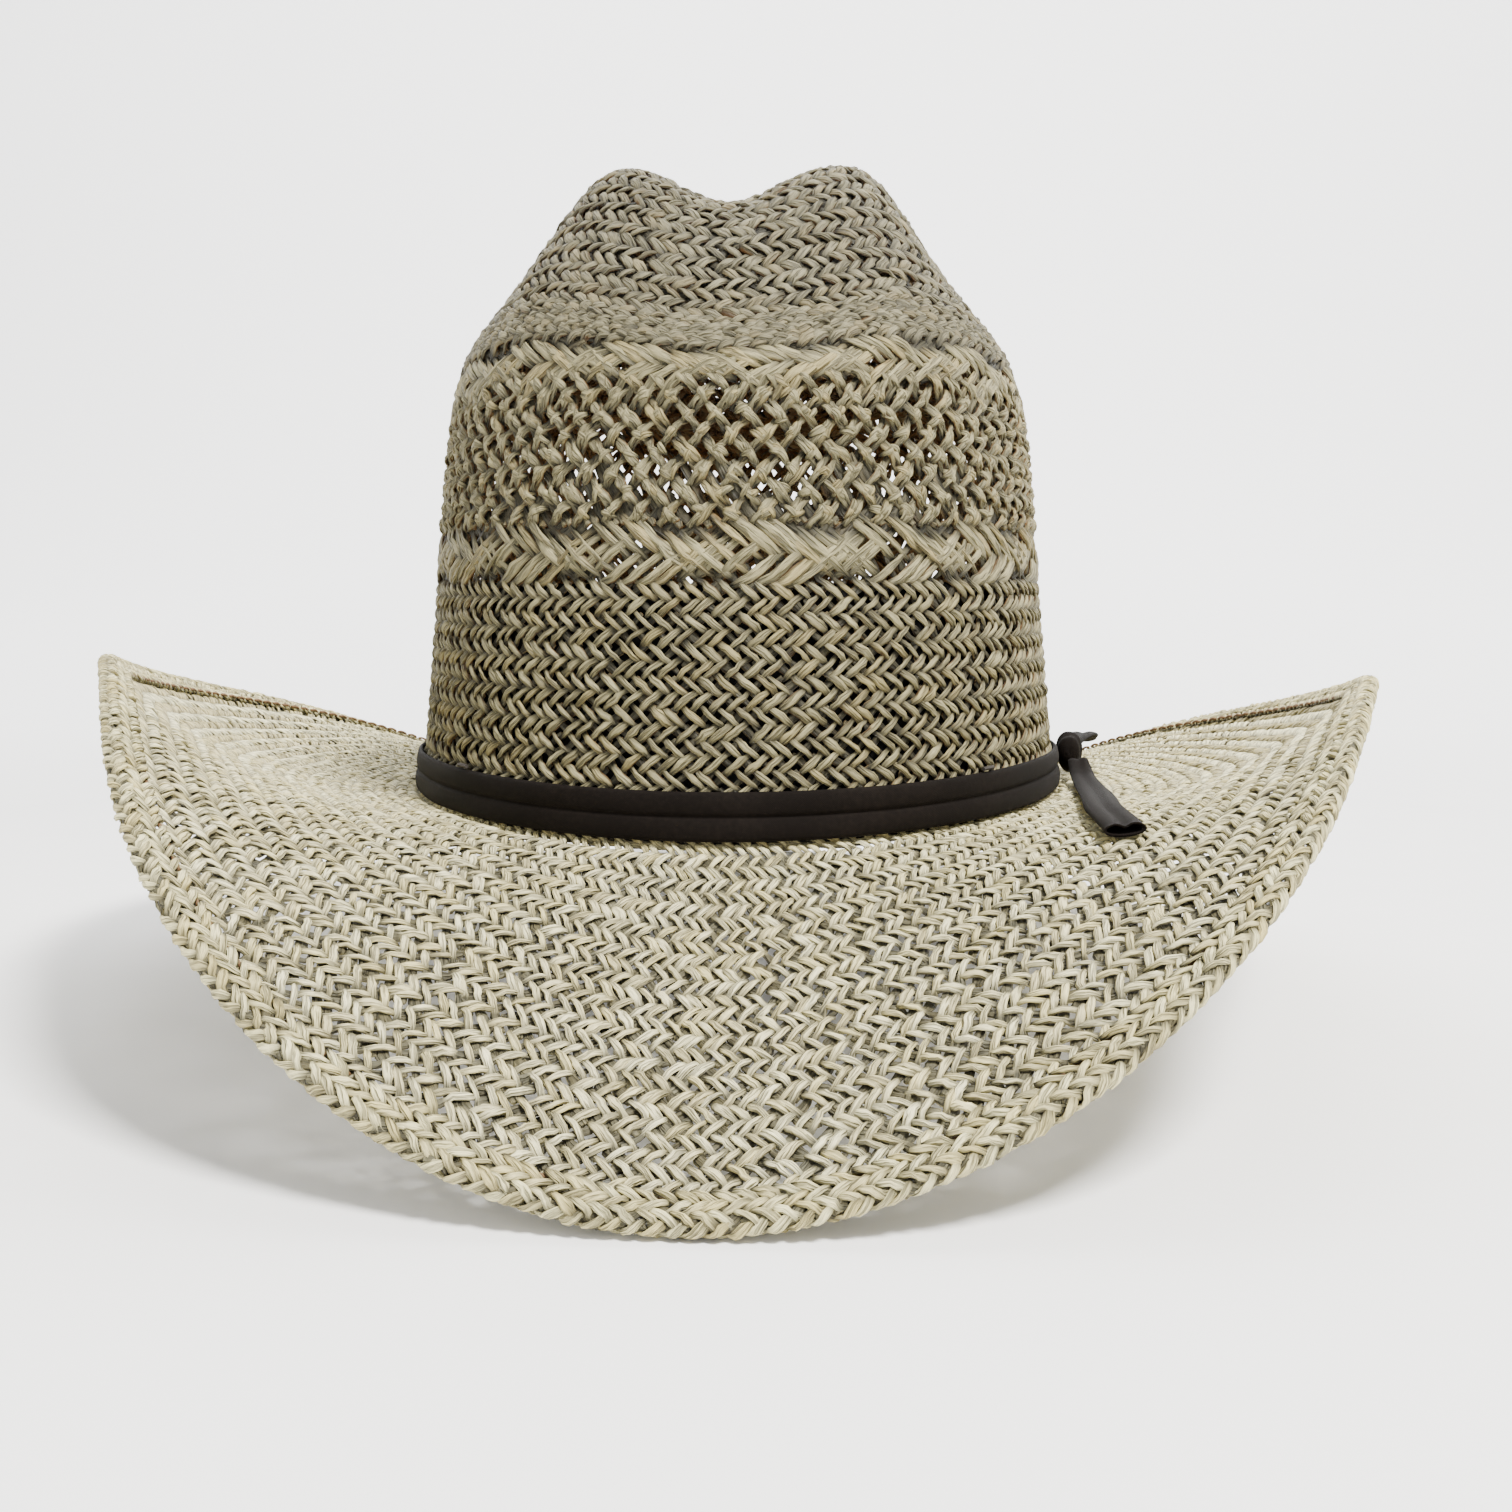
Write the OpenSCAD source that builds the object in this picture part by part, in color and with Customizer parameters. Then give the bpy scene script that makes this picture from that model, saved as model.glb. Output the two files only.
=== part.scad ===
// Western straw hat: a woven crown and brim, a wired and hemmed edge, a narrow ribbon
// with its knot and two short tails, and a sweatband sewn in along a reed.
// Millimetres. +Z is up, the wearer faces -Y, and the ribbon's knot is on +X.
// The hat stands on the front and rear of its brim, and the origin is under its middle.

/* [Head opening] */
// Half the width of the crown at its base, side to side
crown_a = 86; // [82:0.5:90]
// Half the length of the crown at its base, front to back
crown_b = 103.5; // [98:0.5:108]
// How far the crown's base rises at the sides above its front and back
base_rise = 4; // [0:0.5:6]

/* [Crown] */
// Height of the two ridges above the head opening
ridge_h = 167; // [150:1:175]
// Height that the wall would reach before it turns in
wall_h = 131; // [115:1:134]
// How much narrower the wall grows up to its turn, as a share of its width
wall_taper = 0.125; // [0.05:0.005:0.15]
// Size of the crown's top, as a share of the wall at its turn
plateau = 0.49; // [0.4:0.01:0.55]
// Drop from the ridges to the shoulders
shoulder_drop = 56; // [45:1:60]
// Depth of the crease along the top
crease_deep = 26; // [0:1:30]
// Half width of the crease
crease_w = 17; // [12:1:22]
// Half length of the crease
crease_l = 49; // [36:1:56]
// Depth of the dents on the two shoulders
dent_deep = 4; // [0:0.5:8]
// Thickness of the woven straw
straw_t = 2.2; // [1.6:0.1:2.6]

/* [Brim] */
// Width of the brim along the straw, averaged round the hat
brim_w = 91; // [88:0.5:100]
// Extra width at front and back, taken away at the sides
brim_long = 10.5; // [4:0.5:14]
// Extra width at front, back and sides, taken away at the corners
brim_square = 5.5; // [0:0.5:7]
// Extra width at the front left and back right corners, taken away at the other two
brim_skew = 4.5; // [0:0.5:6]
// Extra width on the wearer's right, taken away on the left
brim_uneven = 4.5; // [0:0.5:6]
// Height of the edge at the front and back, below the head opening
edge_front = -44.5; // [-50:0.5:-38]
// Height of the edge 30 degrees round from the front
edge_front_side = -3; // [-10:0.5:8]
// Height of the edge 60 degrees round from the front
edge_front_corner = 35; // [28:0.5:42]
// Height of the edge at the sides
edge_side = 31; // [28:0.5:40]
// Height of the edge 60 degrees round from the back
edge_rear_corner = 15.5; // [10:0.5:24]
// Height of the edge 30 degrees round from the back
edge_rear_side = -16.5; // [-22:0.5:-8]
// How much the wearer's right side curls above the middle, and the left below it
edge_tilt = 2.5; // [0:0.5:3]
// How sharply the brim curls near its edge at the sides
curl = 2.6; // [2:0.1:3]
// How far the brim's middle hangs below a straight slope at the front and back
sag_front = 3; // [0:0.5:5]
// The same at the sides
sag_side = 1; // [0:0.5:3]

/* [Edge] */
// Width of the folded hem
hem_w = 8; // [6:0.5:10]
// Thickness of the hem round the wire
hem_t = 4.6; // [4.4:0.1:5.4]
// Radius of the brim wire
wire_r = 0.9; // [0.6:0.05:1]
// Length of the sleeve that joins the wire's ends, in degrees of the brim
sleeve_angle = 7; // [5:0.5:9]

/* [Ribbon] */
// Height of the ribbon round the crown
ribbon_h = 11; // [9:0.5:14]
// Thickness of the folded ribbon
ribbon_t = 1.6; // [1.2:0.1:2]
// Width of the ribbon's loose tails
tail_w = 9.5; // [8:0.5:11]
// Thickness of the loose tails
tail_t = 1.6; // [1:0.1:2]

/* [Sweatband] */
// Height of the sweatband inside the crown
sweat_h = 57; // [45:1:65]
// Thickness of the sweatband
sweat_t = 1.2; // [0.8:0.1:1.6]
// Radius of the reed along the sweatband's lower edge
reed_r = 1.1; // [0.8:0.1:1.2]
// Width and height of the blank size tab
tab = [26, 16]; // [10:1:40]

/* [Hidden] */

gap = 0.3;                  // clearance between neighbouring pieces
around = 60;                // steps round the crown
edge_around = 72;           // steps round the brim
crown_rows = 20;            // rows from the crown's base to the middle of its top
brim_rows = 7;              // rows across the brim
turn = 0.54;                // share of the crown's rows that belong to the wall
ridge_soft = 0.06;          // rounding of the wall's turn and of the ridges
shoulder_soft = 12;         // rounding where the wall meets the top
arc_share = 0.985;          // the brim's reach as a share of its straight chord
channel_r = 1.6;            // hollow in the hem that the wire lies in
thread_r = 0.5;             // radius of the sewing thread

top_a = crown_a * (1 - wall_taper);
top_b = crown_b * (1 - wall_taper);
base_h = -edge_front + hem_t / 2;      // height of the head opening's edge above the ground
wall_out = straw_t / 2 + gap;          // first free distance outside the crown's middle surface

straw = [0.86, 0.82, 0.68];
dark_cloth = [0.10, 0.07, 0.05];
brown_thread = [0.37, 0.26, 0.13];

// ---- numbers ----
function soft(v, k) = (v + sqrt(v * v + k * k)) / 2;
function soft_min(p, q, k) = (p + q - sqrt((p - q) * (p - q) + k * k)) / 2;
function bell(v) = exp(-v * v);
function total(list, i = 0) = i < len(list) ? list[i] + total(list, i + 1) : 0;
function unit(v) = v / norm(v);

// ---- the crown's middle surface ----
function base_z(th) = base_rise * pow(cos(th), 2);

// Height of the crown's top over a point: a raised middle that falls to the shoulders,
// with a crease along it and a dent on each shoulder.
function top_z(x, y) =
    let (out = pow(pow(abs(x) / top_a, 3) + pow(abs(y) / top_b, 3), 1 / 3))
    let (drop = shoulder_drop * soft(out - plateau, ridge_soft) / (1 - plateau))
    let (crease = crease_deep * bell(x / crease_w) * exp(-pow(y / crease_l, 4)))
    let (dent = dent_deep * bell((abs(x) - 54) / 12) * bell((y + 25) / 40))
    ridge_h - drop - crease - dent;

// A point of the crown: th goes round it, s runs from the base (0) to the top's middle (1).
function crown_point(th, s) =
    let (inward = soft(s - turn, ridge_soft) / soft(1 - turn, ridge_soft))
    let (r = (1 - wall_taper * s / turn) * (1 - inward))
    let (x = crown_a * r * cos(th), y = crown_b * r * sin(th))
    let (z = soft_min(wall_h * s / turn, top_z(x, y), shoulder_soft))
    let (z_foot = soft_min(0, top_z(crown_a * cos(th), crown_b * sin(th)), shoulder_soft))
    middle + [x, y, z - z_foot * (1 - s) + base_z(th) * pow(1 - s, 3)];

function crown_normal(th, s) =
    unit(cross(crown_point(th + 1, s) - crown_point(th - 1, s),
               crown_point(th, s + 0.005) - crown_point(th, s - 0.005)));
function crown_offset(th, s, d) = crown_point(th, s) + d * crown_normal(th, s);

// ---- the brim's middle surface ----
// The edge's height round the hat is the smooth wave through seven named heights.
edge_heights = [edge_front, edge_front_side, edge_front_corner, edge_side,
                edge_rear_corner, edge_rear_side, edge_front];
function end_half(i) = (i == 0 || i == 6) ? 0.5 : 1;
edge_waves = [for (k = [0:6])
    end_half(k) / 3 * total([for (j = [0:6]) end_half(j) * edge_heights[j] * cos(30 * k * j)])];
function edge_z(th) =
    total([for (k = [0:6]) edge_waves[k] * cos(k * (th + 90))]) - edge_tilt * cos(th);
function brim_cut(th) = brim_w - brim_long * cos(2 * th) + brim_square * cos(4 * th)
    - brim_skew * sin(2 * th) - brim_uneven * cos(th);

function outward(th) = unit([cos(th) / crown_a, sin(th) / crown_b, 0]);
function brim_rise(th) = edge_z(th) - base_z(th);
function brim_reach(th) = arc_share * sqrt(pow(brim_cut(th), 2) - pow(brim_rise(th), 2));

// Plan of the brim round the middle of the crown: w runs from the crown (0) to the edge (1).
function brim_plan(th, w) =
    [crown_a * cos(th), crown_b * sin(th), base_z(th)] + outward(th) * brim_reach(th) * w;

// The brim's edge sets the middle of the box, and so the crown's place above the origin.
edge_plan = [for (i = [0:edge_around - 1]) brim_plan(360 * i / edge_around, 1)];
edge_xs = [for (p = edge_plan) p[0]];
edge_ys = [for (p = edge_plan) p[1]];
middle = [-(max(edge_xs) + min(edge_xs)) / 2, -(max(edge_ys) + min(edge_ys)) / 2, base_h];

// A point of the brim: straight down at the front and back, curled up late at the sides.
function brim_point(th, w) =
    let (straight = pow(sin(th), 2))
    let (share = straight * w + (1 - straight) * pow(w, curl))
    let (sag = sag_side + (sag_front - sag_side) * straight)
    middle + brim_plan(th, w) + [0, 0, brim_rise(th) * share - 4 * sag * w * (1 - w)];
function brim_along(th, w) = unit(brim_point(th + 1, w) - brim_point(th - 1, w));
function brim_out(th, w) = unit(brim_point(th, w) - brim_point(th, w - 0.01));
function brim_normal(th, w) = unit(cross(brim_out(th, w), brim_along(th, w)));

// Points beside the edge: u along the brim outwards, v up from it.
function edge_offset(th, u, v) =
    brim_point(th, 1) + u * brim_out(th, 1) + v * brim_normal(th, 1);
hem_in = hem_w - hem_t / 2;            // the hem's inner side, from the wire
function brim_end(th) = 1 - (hem_in + gap) / norm(brim_point(th, 1) - brim_point(th, 0.99)) / 100;

// ---- skins ----
// Two triangles between four corners of a grid.
function quad(a, b, c, d) = [[a, b, c], [a, c, d]];

// A ring-shaped solid: rings of points round the hat, joined into a closed loop.
module loop_skin(rings) {
    n = len(rings);
    m = len(rings[0]);
    polyhedron(
        points = [for (ring = rings) each ring],
        faces = [for (i = [0:n - 1]) for (j = [0:m - 1])
            let (k = (i + 1) % n, l = (j + 1) % m)
            each quad(i * m + j, k * m + j, k * m + l, i * m + l)]);
}

// A solid with two ends: rings of points along a path, with a flat cap on each end.
module rod_skin(rings) {
    n = len(rings);
    m = len(rings[0]);
    polyhedron(
        points = [for (ring = rings) each ring],
        faces = concat(
            [for (i = [0:n - 2]) for (j = [0:m - 1])
                let (l = (j + 1) % m)
                each quad(i * m + j, (i + 1) * m + j, (i + 1) * m + l, i * m + l)],
            [[for (j = [0:m - 1]) j]],
            [[for (j = [m - 1:-1:0]) (n - 1) * m + j]]));
}

// A round section of n sides about the edge's line or beside it.
function edge_ring(th, u, v, r, n) =
    [for (i = [0:n - 1]) edge_offset(th, u + r * cos(360 * i / n), v - r * sin(360 * i / n))];

// ---- straw ----
// The crown is one open shell: an outer and an inner grid that meet at the base's rim.
module crown() {
    rows = [for (i = [0:crown_rows - 1]) i / crown_rows];
    m = around;
    n = len(rows);
    skin_of = function (d) [for (s = rows) for (j = [0:m - 1])
        s == 0 ? crown_point(360 * j / m, 0) + d * outward(360 * j / m)
               : crown_offset(360 * j / m, s, d)];
    top_middle = crown_point(0, 1);
    outer_pole = 2 * n * m;
    inner_pole = outer_pole + 1;
    color(straw)
    polyhedron(
        points = concat(skin_of(straw_t / 2), skin_of(-straw_t / 2),
                        [top_middle + [0, 0, straw_t / 2], top_middle - [0, 0, straw_t / 2]]),
        faces = concat(
            [for (i = [0:n - 2]) for (j = [0:m - 1])
                let (l = (j + 1) % m)
                each quad(i * m + j, (i + 1) * m + j, (i + 1) * m + l, i * m + l)],
            [for (i = [n:2 * n - 2]) for (j = [0:m - 1])
                let (l = (j + 1) % m)
                each quad(i * m + l, (i + 1) * m + l, (i + 1) * m + j, i * m + j)],
            [for (j = [0:m - 1]) [(n - 1) * m + j, outer_pole, (n - 1) * m + (j + 1) % m]],
            [for (j = [0:m - 1]) [(2 * n - 1) * m + (j + 1) % m, inner_pole, (2 * n - 1) * m + j]],
            [for (j = [0:m - 1]) each quad((j + 1) % m, n * m + (j + 1) % m, n * m + j, j)]));
}

// The brim runs from just outside the crown's foot to just inside the hem.
module brim() {
    ring_of = function (th)
        let (w0 = wall_out / brim_reach(th), w1 = brim_end(th))
        let (ws = [for (i = [0:brim_rows]) w0 + (w1 - w0) * i / brim_rows])
        concat(
            [for (w = ws) brim_point(th, w) + straw_t / 2 * brim_normal(th, w)],
            [for (i = [brim_rows:-1:0]) brim_point(th, ws[i]) - straw_t / 2 * brim_normal(th, ws[i])]);
    color(straw)
    loop_skin([for (i = [0:edge_around - 1]) ring_of(360 * i / edge_around)]);
}

// The folded edge: round over the wire, thinner on its inner side, and hollow.
module brim_hem() {
    hem_ring = function (th) concat(
        [for (a = [90:-30:-90]) edge_offset(th, hem_t / 2 * cos(a), hem_t / 2 * sin(a))],
        [edge_offset(th, -hem_in, -straw_t * 0.8), edge_offset(th, -hem_in, straw_t * 0.8)]);
    color(straw)
    difference() {
        loop_skin([for (i = [0:edge_around - 1]) hem_ring(360 * i / edge_around)]);
        loop_skin([for (i = [0:edge_around - 1]) edge_ring(360 * i / edge_around, 0, 0, channel_r, 6)]);
    }
}

// ---- edge parts ----
// A line of thread lies along the hem's inner side.
module hem_stitching() {
    color(brown_thread)
    loop_skin([for (i = [0:edge_around - 1])
        edge_ring(360 * i / edge_around, 1.2 - hem_in, straw_t * 0.8 + 2 * thread_r + 0.1, thread_r, 5)]);
}

// The wire goes once round and its ends meet in the sleeve at the back.
module brim_wire() {
    color("silver")
    rod_skin([for (i = [0:edge_around])
        edge_ring(91 + 358 * i / edge_around, 0, 0, wire_r, 6)]);
}

module wire_sleeve() {
    steps = 4;
    along = [for (i = [0:steps]) 90 + sleeve_angle * (i / steps - 0.5)];
    outer = [for (th = along) edge_ring(th, 0, 0, channel_r - 0.1, 10)];
    inner = [for (th = along) edge_ring(th, 0, 0, wire_r + 0.15, 10)];
    color("goldenrod")
    loop_skin([for (j = [0:9]) concat(
        [for (i = [steps:-1:0]) outer[i][j]], [for (i = [0:steps]) inner[i][j]])]);
}

// ---- ribbon ----
// A point beside the crown's wall: d outwards from its middle surface, h up from its base.
function wall_point(th, d, h) =
    crown_point(th, h * turn / wall_h) + d * outward(th);

// The ribbon is folded along its middle, so each half is a little proud of the fold.
module hat_ribbon() {
    near = wall_out + 0.2;
    far = near + ribbon_t;
    half = ribbon_h / 2;
    foot = straw_t / 2 + 2 * gap;
    section = [[near, foot], [far - 0.4, foot], [far, foot + 0.8], [far, foot + half - 0.6],
               [far - 0.7, foot + half], [far, foot + half + 0.6], [far, foot + ribbon_h - 0.8],
               [far - 0.4, foot + ribbon_h], [near, foot + ribbon_h]];
    color(dark_cloth)
    loop_skin([for (i = [0:around - 1])
        [for (p = section) wall_point(-360 * i / around, p[0], p[1])]]);
}

// Four short stitches hold the ribbon's upper edge to the straw.
tack_angles = [-135, -45, 45, 135];
module ribbon_tacks() {
    color(brown_thread)
    for (th = tack_angles)
        rod_skin([for (i = [-1:1])
            [for (a = [300:-60:0])
                wall_point(th + 1.2 * i,
                           wall_out + 1 + thread_r * cos(a),
                           straw_t / 2 + ribbon_h + 1.3 + thread_r * sin(a))]]);
}

// The knot is a small wrapped loop against the ribbon.
knot_x = middle[0] + crown_a + wall_out + ribbon_t + 0.5;
knot_z = base_h + base_rise + 8.5;
module ribbon_knot() {
    color(dark_cloth)
    hull()
        for (y = [-2.4, 2.4])
            for (z = [-2, 2.2])
                translate([knot_x + 3.6, middle[1] + y, knot_z + z]) sphere(r = 2.9, $fn = 16);
}

// A tail is a flattened tube of ribbon along a short route.
module ribbon_tail(route, wide) {
    n = len(route);
    ahead = [for (i = [0:n - 1]) unit(route[min(i + 1, n - 1)] - route[max(i - 1, 0)])];
    side = [for (i = [0:n - 1]) unit(wide[i] - ahead[i] * (wide[i] * ahead[i]))];
    up = [for (i = [0:n - 1]) cross(side[i], ahead[i])];
    section = [for (a = [324:-36:0]) [tail_w / 2 * cos(a), tail_t / 2 * sin(a)]];
    color(dark_cloth)
    rod_skin([for (i = [0:n - 1])
        [for (p = section) route[i] + side[i] * p[0] + up[i] * p[1]]]);
}

// The front tail leaves the knot, bends down and lies along the brim.
function on_brim(th, w, lift) = brim_point(th, w) + [0, 0, lift];
front_route = [
    on_brim(-5.2, 0.095, 7.4), on_brim(-7.6, 0.102, 4.9), on_brim(-11, 0.11, 3.6),
    on_brim(-19, 0.14, 3.1), on_brim(-28, 0.2, 3), on_brim(-36, 0.27, 3),
    on_brim(-43, 0.35, 3), on_brim(-48, 0.44, 3.1), on_brim(-51.5, 0.52, 3.4)];
module front_tail() {
    ribbon_tail(front_route, [for (p = front_route) [1, 0, 0.1]]);
}

// The rear tail stands out behind the knot, nearly level.
rear_route = [
    [4.4, 5.8, 2], [6.5, 11, 3], [9, 18, 3.4], [11, 26, 2.8], [12, 34, 1.4]];
module rear_tail() {
    ribbon_tail([for (p = rear_route) [knot_x, middle[1], knot_z] + p],
                [for (p = rear_route) [1, -0.4, 0.05]]);
}

// ---- inside ----
sweat_out = -straw_t / 2 - gap;        // the sweatband's outer side, from the wall's middle
sweat_foot = 1;                        // its lower edge, above the crown's base
module sweatband() {
    rows = 6;
    heights = [for (i = [0:rows]) sweat_foot + 1 + (sweat_h - 1) * i / rows];
    color("black")
    loop_skin([for (i = [0:around - 1])
        let (th = 360 * i / around)
        concat([for (h = heights) wall_point(th, sweat_out - sweat_t, h)],
               [for (k = [rows:-1:0]) wall_point(th, sweat_out, heights[k])])]);
}

// The reed stiffens the lower edge, and the thread over it joins it to the straw.
module sweatband_reed() {
    color([0.12, 0.11, 0.1])
    loop_skin([for (i = [0:around - 1])
        [for (a = [300:-60:0])
            wall_point(360 * i / around,
                       sweat_out - reed_r + reed_r * cos(a),
                       sweat_foot - reed_r + reed_r * sin(a) + 0.6)]]);
}

module sweatband_stitching() {
    inside = sweat_out - sweat_t - thread_r - 0.1;
    color(brown_thread)
    loop_skin([for (i = [0:around - 1])
        [for (a = [270:-90:0])
            wall_point(360 * i / around, inside + thread_r * cos(a), sweat_foot + 4 + thread_r * sin(a))]]);
}

// A small flat bow covers the sweatband's join at the back.
bow_y = middle[1] + crown_b + sweat_out - sweat_t - 1.6;
module sweatband_bow() {
    bow_z = base_h + 11;
    color([0.09, 0.08, 0.07])
    translate([middle[0], bow_y, bow_z]) rotate([90, 0, 0])
        linear_extrude(1.4)
            union() {
                polygon([[-10, -3.6], [0, -1.2], [10, -3.6], [10, 3.6], [0, 1.2], [-10, 3.6]]);
                translate([-1.8, -2.2]) square([3.6, 4.4]);
            }
}

// The blank tab is sewn flat against the sweatband above the bow.
module size_tab() {
    color([0.9, 0.89, 0.86])
    translate([middle[0] - tab[0] / 2, bow_y - 2.7, base_h + 19])
        cube([tab[0], 0.5, tab[1]]);
}

crown();
brim();
brim_hem();
hem_stitching();
brim_wire();
wire_sleeve();
hat_ribbon();
ribbon_tacks();
ribbon_knot();
front_tail();
rear_tail();
sweatband();
sweatband_reed();
sweatband_stitching();
sweatband_bow();
size_tab();
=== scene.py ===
# %% [markdown]
# # A woven straw western hat
# The straw is built strand by strand. A smooth surface says where the crown and the brim are, and
# short curved strands are laid over and under each other along it, as in a real plait.
# Lengths in the formulas are in millimetres, and each mesh is scaled to metres when it is made.

# %% Load the imported model and bake each part's placement into its mesh
import math
import bpy
import numpy as np
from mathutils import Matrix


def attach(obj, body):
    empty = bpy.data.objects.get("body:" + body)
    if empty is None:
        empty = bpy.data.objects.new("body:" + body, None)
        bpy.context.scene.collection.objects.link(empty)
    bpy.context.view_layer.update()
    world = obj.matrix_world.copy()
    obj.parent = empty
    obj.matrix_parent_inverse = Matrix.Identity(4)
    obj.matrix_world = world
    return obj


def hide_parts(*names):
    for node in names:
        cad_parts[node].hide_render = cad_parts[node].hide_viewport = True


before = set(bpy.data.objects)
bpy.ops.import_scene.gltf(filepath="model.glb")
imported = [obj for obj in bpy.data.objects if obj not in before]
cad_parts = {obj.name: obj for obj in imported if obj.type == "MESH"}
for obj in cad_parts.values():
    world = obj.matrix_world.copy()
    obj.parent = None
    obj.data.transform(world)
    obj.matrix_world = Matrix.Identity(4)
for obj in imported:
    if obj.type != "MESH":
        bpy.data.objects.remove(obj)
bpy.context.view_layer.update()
print("nodes:", sorted(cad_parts))

MM = 0.001
TURN = 2 * math.pi
rng = np.random.default_rng(7)

# %% [markdown]
# ## The hat's surfaces
# The crown is a tapered wall under a creased top, joined by a soft minimum. The brim leaves the
# crown's foot: it slopes straight down at the front and back, and curls up late at the sides.

# %% Sizes of the hat
CROWN_A, CROWN_B = 86.0, 103.5
BASE_RISE, RIDGE_H, WALL_H, WALL_TAPER = 4.0, 167.0, 131.0, 0.125
PLATEAU, SHOULDER_DROP = 0.49, 56.0
CREASE_DEEP, CREASE_W, CREASE_L, DENT_DEEP = 26.0, 17.0, 49.0, 4.0
WALL_ROWS, RIDGE_SOFT, SHOULDER_SOFT = 0.54, 0.06, 12.0
BRIM_W, BRIM_LONG, BRIM_SQUARE, BRIM_SKEW, BRIM_UNEVEN = 91.0, 10.5, 5.5, 4.5, 4.5
EDGE_HEIGHTS = [-44.5, -3.0, 35.0, 31.0, 15.5, -16.5, -44.5]
EDGE_TILT, CURL, SAG_FRONT, SAG_SIDE, ARC_SHARE = 2.5, 2.6, 3.0, 1.0, 0.985
HEM_T = 4.6
HEM_IN = 8.0 - HEM_T / 2
BASE_H = 44.5 + HEM_T / 2


# %% Small helpers for the formulas
def soft(v, k):
    """A rounded max(v, 0): (v + sqrt(v^2 + k^2)) / 2."""
    return (v + np.sqrt(v * v + k * k)) / 2


def soft_min(p, q, k):
    """A rounded min(p, q): (p + q - sqrt((p - q)^2 + k^2)) / 2."""
    return (p + q - np.sqrt((p - q) ** 2 + k * k)) / 2


def unit(v):
    """Each vector divided by its own length."""
    return v / np.maximum(np.linalg.norm(v, axis=-1, keepdims=True), 1e-9)


def stack(x, y, z):
    """Three arrays joined into an array of points."""
    return np.stack(np.broadcast_arrays(x, y, z), axis=-1)


# %% The crown's surface
def top_z(x, y):
    """Height of the top: ridge - drop * soft(e - plateau) - crease - dents,
    with e = ((|x|/a)^3 + (|y|/b)^3)^(1/3)."""
    a, b = CROWN_A * (1 - WALL_TAPER), CROWN_B * (1 - WALL_TAPER)
    e = ((np.abs(x) / a) ** 3 + (np.abs(y) / b) ** 3) ** (1 / 3)
    drop = SHOULDER_DROP * soft(e - PLATEAU, RIDGE_SOFT) / (1 - PLATEAU)
    crease = CREASE_DEEP * np.exp(-((x / CREASE_W) ** 2) - (y / CREASE_L) ** 4)
    dent = DENT_DEEP * np.exp(-(((np.abs(x) - 54) / 12) ** 2) - ((y + 25) / 40) ** 2)
    return RIDGE_H - drop - crease - dent


def base_z(th):
    """Height of the crown's foot: rise * cos^2(angle)."""
    return BASE_RISE * np.cos(th) ** 2


def crown_flat(th, s):
    """The crown before it is centred: an ellipse of radius (1 - taper * s / turn)(1 - inward),
    at the height min(wall, top), for s from 0 at the foot to 1 at the middle of the top."""
    inward = soft(s - WALL_ROWS, RIDGE_SOFT) / soft(1 - WALL_ROWS, RIDGE_SOFT)
    r = (1 - WALL_TAPER * s / WALL_ROWS) * (1 - inward)
    x, y = CROWN_A * r * np.cos(th), CROWN_B * r * np.sin(th)
    z = soft_min(WALL_H * s / WALL_ROWS, top_z(x, y), SHOULDER_SOFT)
    foot = soft_min(0 * th, top_z(CROWN_A * np.cos(th), CROWN_B * np.sin(th)), SHOULDER_SOFT)
    return stack(x, y, z - foot * (1 - s) + base_z(th) * (1 - s) ** 3)


# %% The brim's surface
def edge_z(th):
    """Height of the edge: the cosine series through the seven heights, minus tilt * cos(angle)."""
    k = np.arange(7)
    half = np.where((k == 0) | (k == 6), 0.5, 1.0)
    waves = half / 3 * (np.cos(math.pi / 6 * np.outer(k, k)) @ (half * np.array(EDGE_HEIGHTS)))
    return np.cos(np.multiply.outer(th + math.pi / 2, k)) @ waves - EDGE_TILT * np.cos(th)


def brim_reach(th):
    """How far the brim goes out in plan: share * sqrt(cut^2 - rise^2)."""
    cut = (BRIM_W - BRIM_LONG * np.cos(2 * th) + BRIM_SQUARE * np.cos(4 * th)
           - BRIM_SKEW * np.sin(2 * th) - BRIM_UNEVEN * np.cos(th))
    return ARC_SHARE * np.sqrt(cut**2 - (edge_z(th) - base_z(th)) ** 2)


def brim_flat(th, w):
    """The brim before it is centred: foot + outward * reach * w, at the height
    rise * (c * w + (1 - c) * w^curl) - 4 * sag * w * (1 - w), with c = sin^2(angle)."""
    out = unit(stack(np.cos(th) / CROWN_A, np.sin(th) / CROWN_B, 0 * th))
    straight = np.sin(th) ** 2
    share = straight * w + (1 - straight) * np.maximum(w, 0) ** CURL
    sag = SAG_SIDE + (SAG_FRONT - SAG_SIDE) * straight
    height = (edge_z(th) - base_z(th)) * share - 4 * sag * w * (1 - w)
    foot = stack(CROWN_A * np.cos(th), CROWN_B * np.sin(th), base_z(th) + height)
    return foot + out * (brim_reach(th) * w)[..., None]


ring = np.linspace(0, TURN, 72, endpoint=False)
edge_now = brim_flat(ring, np.ones(72))
MIDDLE = np.append(-(edge_now.max(0) + edge_now.min(0))[:2] / 2, BASE_H)
print("middle of the crown (mm):", MIDDLE.round(2))


def crown(th, s):
    """A point of the crown's middle surface, centred over the origin."""
    return crown_flat(th, s) + MIDDLE


def brim(th, w):
    """A point of the brim's middle surface, centred over the origin."""
    return brim_flat(th, w) + MIDDLE


def normal(surface, th, s, step=0.004):
    """The surface's outward direction: the cross product of its two slopes. The brim's and the
    hem's run outwards, so theirs is turned over to point up."""
    along = surface(th + step, s) - surface(th - step, s)
    across = surface(th, s + step) - surface(th, s - step)
    return unit(np.cross(along, across)) * (1 if surface is crown else -1)


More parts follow.
